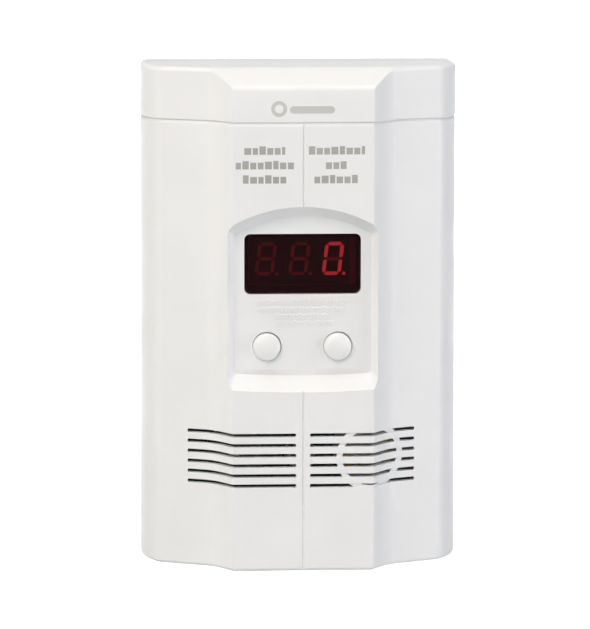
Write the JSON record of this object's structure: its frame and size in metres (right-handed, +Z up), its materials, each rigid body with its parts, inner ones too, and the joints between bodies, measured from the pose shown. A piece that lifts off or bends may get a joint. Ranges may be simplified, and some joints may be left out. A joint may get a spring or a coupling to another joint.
{
  "type": "carbon monoxide detector",
  "caption": "Wall-hung carbon monoxide and gas alarm: deep white case with an arched sunk panel, a tinted digital display, domed push-buttons, vent slots and a rear battery door.",
  "frame": {"origin": "centre of the flat rear face that lies against the wall", "axes": "+Y out of the rear face, into the wall, so the front faces -Y; +Z up the case; +X to the right as seen from the front"},
  "size_m": [0.0972, 0.0431, 0.1534],
  "materials": {
    "cover_plastic": "satin moulded white plastic",
    "cap_plastic": "satin moulded white plastic",
    "rear_plastic": "matt moulded white plastic",
    "tray_plastic": "matt moulded white plastic",
    "bay_plastic": "matt moulded white plastic",
    "door_plastic": "matt moulded white plastic",
    "battery_jacket": "smooth printed metal jacket, plain dark",
    "terminal_steel": "plated steel",
    "snap_plastic": "black plastic",
    "contact_steel": "plated spring steel",
    "lens_tint": "polished dark red tinted acrylic",
    "display_body": "dark display block",
    "header_plastic": "black plastic pin headers",
    "board_laminate": "green solder mask on laminate",
    "button_plastic": "smooth white plastic",
    "switch_plastic": "black plastic",
    "plunger_plastic": "black plastic",
    "horn_plastic": "white plastic",
    "brass": "bare brass",
    "ceramic": "silvered ceramic",
    "can_steel": "drawn steel",
    "cell_cap_plastic": "dark plastic",
    "sensor_base_plastic": "black plastic",
    "chip_epoxy": "moulded epoxy",
    "regulator_epoxy": "moulded epoxy",
    "capacitor_sleeve": "shrink sleeve",
    "coil_ferrite": "ferrite",
    "inlet_plastic": "black plastic",
    "inlet_contact": "plated contact",
    "label_paper": "plain silver-grey label",
    "screw_steel": "zinc plated"
  },
  "bodies": {
    "case": {"front_cover": "cover_plastic", "top_cap": "cap_plastic", "rear_cover": "rear_plastic", "battery_tray": "tray_plastic", "inlet_bay": "bay_plastic", "battery_cell": "battery_jacket", "battery_terminal_positive": "terminal_steel", "battery_terminal_negative": "terminal_steel", "snap_holder": "snap_plastic", "snap_contact_positive": "contact_steel", "snap_contact_negative": "contact_steel", "display_lens": "lens_tint", "display_module": "display_body", "display_header": "header_plastic", "main_board": "board_laminate", "switch_body_left": "switch_plastic", "switch_body_right": "switch_plastic", "horn_housing": "horn_plastic", "piezo_disc": "brass", "piezo_ceramic": "ceramic", "co_cell_can": "can_steel", "co_cell_cap": "cell_cap_plastic", "gas_sensor_base": "sensor_base_plastic", "gas_sensor_can": "can_steel", "microcontroller": "chip_epoxy", "voltage_regulator": "regulator_epoxy", "capacitor_large": "capacitor_sleeve", "capacitor_small": "capacitor_sleeve", "horn_coil": "coil_ferrite", "power_inlet": "inlet_plastic", "inlet_pin": "inlet_contact", "rating_label": "label_paper", "case_screw_1": "screw_steel", "board_screw_1": "screw_steel", "case_screw_2": "screw_steel", "board_screw_2": "screw_steel", "case_screw_3": "screw_steel", "board_screw_3": "screw_steel", "case_screw_4": "screw_steel", "board_screw_4": "screw_steel"},
    "battery_door": {"battery_door": "door_plastic"},
    "left_button": {"button_left": "button_plastic", "switch_plunger_left": "plunger_plastic"},
    "right_button": {"button_right": "button_plastic", "switch_plunger_right": "plunger_plastic"}
  },
  "joints": [
    {"name": "battery_door_hinge", "type": "hinge", "parent": "case", "child": "battery_door", "pos_m": [0, -0.0011, 0.0323], "axis": [-1, 0, 0], "range_deg": [0, 95]},
    {"name": "left_button_press", "type": "slide", "parent": "case", "child": "left_button", "axis": [0, 1, 0], "range_m": [0, 0.0008], "stiffness_N_per_m": 800},
    {"name": "right_button_press", "type": "slide", "parent": "case", "child": "right_button", "axis": [0, 1, 0], "range_m": [0, 0.0008], "stiffness_N_per_m": 800}
  ]
}
